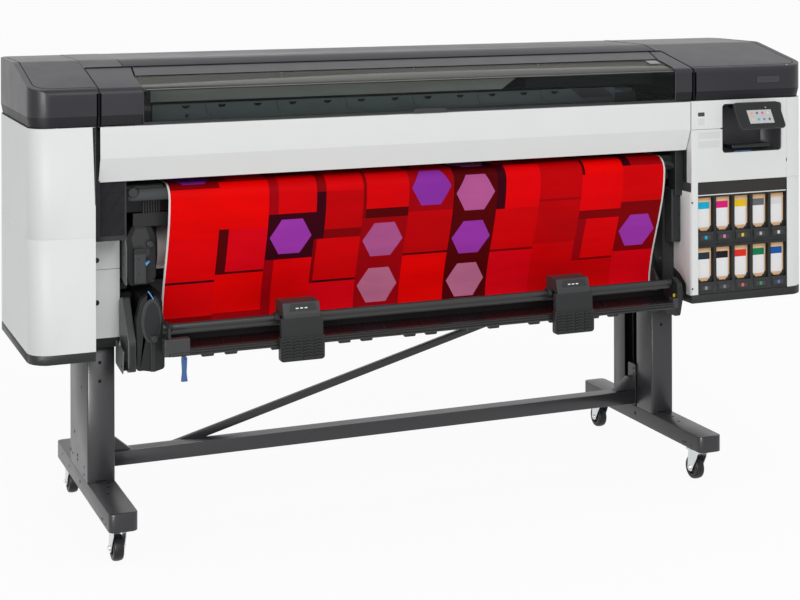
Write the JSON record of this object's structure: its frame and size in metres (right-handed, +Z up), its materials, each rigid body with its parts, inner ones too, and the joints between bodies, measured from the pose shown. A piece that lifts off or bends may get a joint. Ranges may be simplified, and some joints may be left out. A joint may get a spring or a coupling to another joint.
{
  "type": "wide-format roll printer with built-in cutter",
  "caption": "Free-standing wide-format roll printer with a built-in sheet cutter: long white cabinet with a smoked lid, ink bay, roll spindles and loading table, on a wheeled two-column stand.",
  "frame": {"origin": "on the floor, under the middle of the machine's overall box", "axes": "+X to the machine's right as seen from its front, +Y from the front to the back, +Z up"},
  "size_m": [2.6, 0.78, 1.4],
  "materials": {
    "white_cover": "fine-textured satin",
    "dark_cover": "fine-textured satin",
    "black_plastic": "satin",
    "stand_paint": "satin powder coat",
    "zinc": "zinc plated",
    "wheel_tread": "matt",
    "steel": "ground",
    "smoked_window": "smoked, polished",
    "printed_sheet": "coated paper, printed",
    "roll_paper": "coated paper edge",
    "blue_lever": "satin",
    "carton": "kraft board",
    "screen": "glossy"
  },
  "bodies": {
    "printer_frame": {"left_cover_upper": "white_cover", "left_cover_lower": "white_cover", "left_inner_cover": "white_cover", "front_hood": "white_cover", "right_front_cover": "white_cover", "right_side_cover": "white_cover", "right_inner_cover": "white_cover", "left_base": "dark_cover", "right_base": "dark_cover", "rear_cover": "dark_cover", "left_end_cap": "dark_cover", "right_end_cap": "dark_cover", "chassis": "black_plastic", "ink_bay": "black_plastic", "platen": "black_plastic", "roll_drive_upper": "black_plastic", "roll_drive_lower": "black_plastic", "right_roll_bracket": "black_plastic", "loading_table": "black_plastic", "left_foot": "stand_paint", "right_foot": "stand_paint", "left_column": "stand_paint", "right_column": "stand_paint", "cross_beam": "stand_paint", "diagonal_brace": "stand_paint", "paper_sheet": "printed_sheet"},
    "fork_left_front": {"caster_fork_left_front": "zinc"},
    "wheel_left_front": {"caster_wheel_left_front": "wheel_tread"},
    "brake_left_front": {"caster_brake_left_front": "black_plastic"},
    "fork_left_rear": {"caster_fork_left_rear": "zinc"},
    "wheel_left_rear": {"caster_wheel_left_rear": "wheel_tread"},
    "brake_left_rear": {"caster_brake_left_rear": "black_plastic"},
    "fork_right_front": {"caster_fork_right_front": "zinc"},
    "wheel_right_front": {"caster_wheel_right_front": "wheel_tread"},
    "brake_right_front": {"caster_brake_right_front": "black_plastic"},
    "fork_right_rear": {"caster_fork_right_rear": "zinc"},
    "wheel_right_rear": {"caster_wheel_right_rear": "wheel_tread"},
    "brake_right_rear": {"caster_brake_right_rear": "black_plastic"},
    "lid": {"window_frame": "dark_cover", "window": "smoked_window"},
    "cartridge_1": {"ink_cartridge_1": "carton"},
    "cartridge_2": {"ink_cartridge_2": "carton"},
    "cartridge_3": {"ink_cartridge_3": "carton"},
    "cartridge_4": {"ink_cartridge_4": "carton"},
    "cartridge_5": {"ink_cartridge_5": "carton"},
    "cartridge_6": {"ink_cartridge_6": "carton"},
    "cartridge_7": {"ink_cartridge_7": "carton"},
    "cartridge_8": {"ink_cartridge_8": "carton"},
    "cartridge_9": {"ink_cartridge_9": "carton"},
    "cartridge_10": {"ink_cartridge_10": "carton"},
    "panel": {"control_panel": "screen"},
    "print_head_carriage": {"print_carriage": "dark_cover"},
    "cutter": {"cutter_carriage": "black_plastic"},
    "roller": {"drive_roller": "steel"},
    "supply_spindle": {"upper_spindle": "black_plastic", "supply_roll": "roll_paper"},
    "take_up_spindle": {"lower_spindle": "black_plastic"},
    "pad_left": {"table_pad_left": "black_plastic"},
    "pad_right": {"table_pad_right": "black_plastic"},
    "lever": {"table_lever": "blue_lever"}
  },
  "joints": [
    {"name": "swivel_left_front", "type": "hinge", "parent": "printer_frame", "child": "fork_left_front", "pos_m": [-1.062, -0.315, 0.11], "axis": [0, 0, 1], "continuous": true},
    {"name": "wheel_spin_left_front", "type": "hinge", "parent": "fork_left_front", "child": "wheel_left_front", "pos_m": [-1.062, -0.293, 0.0375], "axis": [1, 0, 0], "continuous": true},
    {"name": "brake_lift_left_front", "type": "hinge", "parent": "fork_left_front", "child": "brake_left_front", "pos_m": [-1.062, -0.2807, 0.0907], "axis": [1, 0, 0], "range_deg": [0, 20]},
    {"name": "swivel_left_rear", "type": "hinge", "parent": "printer_frame", "child": "fork_left_rear", "pos_m": [-1.062, 0.33, 0.11], "axis": [0, 0, 1], "continuous": true},
    {"name": "wheel_spin_left_rear", "type": "hinge", "parent": "fork_left_rear", "child": "wheel_left_rear", "pos_m": [-1.062, 0.352, 0.0375], "axis": [1, 0, 0], "continuous": true},
    {"name": "brake_lift_left_rear", "type": "hinge", "parent": "fork_left_rear", "child": "brake_left_rear", "pos_m": [-1.062, 0.3643, 0.0907], "axis": [1, 0, 0], "range_deg": [0, 20]},
    {"name": "swivel_right_front", "type": "hinge", "parent": "printer_frame", "child": "fork_right_front", "pos_m": [0.8465, -0.315, 0.11], "axis": [0, 0, 1], "continuous": true},
    {"name": "wheel_spin_right_front", "type": "hinge", "parent": "fork_right_front", "child": "wheel_right_front", "pos_m": [0.8465, -0.293, 0.0375], "axis": [1, 0, 0], "continuous": true},
    {"name": "brake_lift_right_front", "type": "hinge", "parent": "fork_right_front", "child": "brake_right_front", "pos_m": [0.8465, -0.2807, 0.0907], "axis": [1, 0, 0], "range_deg": [0, 20]},
    {"name": "swivel_right_rear", "type": "hinge", "parent": "printer_frame", "child": "fork_right_rear", "pos_m": [0.8465, 0.33, 0.11], "axis": [0, 0, 1], "continuous": true},
    {"name": "wheel_spin_right_rear", "type": "hinge", "parent": "fork_right_rear", "child": "wheel_right_rear", "pos_m": [0.8465, 0.352, 0.0375], "axis": [1, 0, 0], "continuous": true},
    {"name": "brake_lift_right_rear", "type": "hinge", "parent": "fork_right_rear", "child": "brake_right_rear", "pos_m": [0.8465, 0.3643, 0.0907], "axis": [1, 0, 0], "range_deg": [0, 20]},
    {"name": "lid_hinge", "type": "hinge", "parent": "printer_frame", "child": "lid", "pos_m": [0, -0.07, 1.3814], "axis": [-1, 0, 0], "range_deg": [0, 65]},
    {"name": "cartridge_slide_1", "type": "slide", "parent": "printer_frame", "child": "cartridge_1", "axis": [0, -1, 0], "range_m": [0, 0.25]},
    {"name": "cartridge_slide_2", "type": "slide", "parent": "printer_frame", "child": "cartridge_2", "axis": [0, -1, 0], "range_m": [0, 0.25]},
    {"name": "cartridge_slide_3", "type": "slide", "parent": "printer_frame", "child": "cartridge_3", "axis": [0, -1, 0], "range_m": [0, 0.25]},
    {"name": "cartridge_slide_4", "type": "slide", "parent": "printer_frame", "child": "cartridge_4", "axis": [0, -1, 0], "range_m": [0, 0.25]},
    {"name": "cartridge_slide_5", "type": "slide", "parent": "printer_frame", "child": "cartridge_5", "axis": [0, -1, 0], "range_m": [0, 0.25]},
    {"name": "cartridge_slide_6", "type": "slide", "parent": "printer_frame", "child": "cartridge_6", "axis": [0, -1, 0], "range_m": [0, 0.25]},
    {"name": "cartridge_slide_7", "type": "slide", "parent": "printer_frame", "child": "cartridge_7", "axis": [0, -1, 0], "range_m": [0, 0.25]},
    {"name": "cartridge_slide_8", "type": "slide", "parent": "printer_frame", "child": "cartridge_8", "axis": [0, -1, 0], "range_m": [0, 0.25]},
    {"name": "cartridge_slide_9", "type": "slide", "parent": "printer_frame", "child": "cartridge_9", "axis": [0, -1, 0], "range_m": [0, 0.25]},
    {"name": "cartridge_slide_10", "type": "slide", "parent": "printer_frame", "child": "cartridge_10", "axis": [0, -1, 0], "range_m": [0, 0.25]},
    {"name": "panel_tilt", "type": "hinge", "parent": "printer_frame", "child": "panel", "pos_m": [1.07, -0.29141, 1.213], "axis": [-1, 0, 0], "range_deg": [0, 25]},
    {"name": "carriage_slide", "type": "slide", "parent": "printer_frame", "child": "print_head_carriage", "axis": [1, 0, 0], "range_m": [-1.47, 0.145]},
    {"name": "cutter_slide", "type": "slide", "parent": "printer_frame", "child": "cutter", "axis": [-1, 0, 0], "range_m": [0, 1.78]},
    {"name": "drive_roller_spin", "type": "hinge", "parent": "printer_frame", "child": "roller", "pos_m": [0, 0.013, 1.034], "axis": [1, 0, 0], "continuous": true},
    {"name": "supply_spin", "type": "hinge", "parent": "printer_frame", "child": "supply_spindle", "pos_m": [0, -0.037, 0.84], "axis": [1, 0, 0], "continuous": true},
    {"name": "take_up_spin", "type": "hinge", "parent": "printer_frame", "child": "take_up_spindle", "pos_m": [0, -0.112, 0.605], "axis": [1, 0, 0], "continuous": true},
    {"name": "pad_slide_left", "type": "slide", "parent": "printer_frame", "child": "pad_left", "axis": [1, 0, 0], "range_m": [-0.28, 0.35]},
    {"name": "pad_slide_right", "type": "slide", "parent": "printer_frame", "child": "pad_right", "axis": [1, 0, 0], "range_m": [-0.35, 0.26]},
    {"name": "lever_swing", "type": "hinge", "parent": "printer_frame", "child": "lever", "pos_m": [-0.8625, -0.287, 0.5517], "axis": [0, -1, 0], "range_deg": [0, 60]}
  ]
}
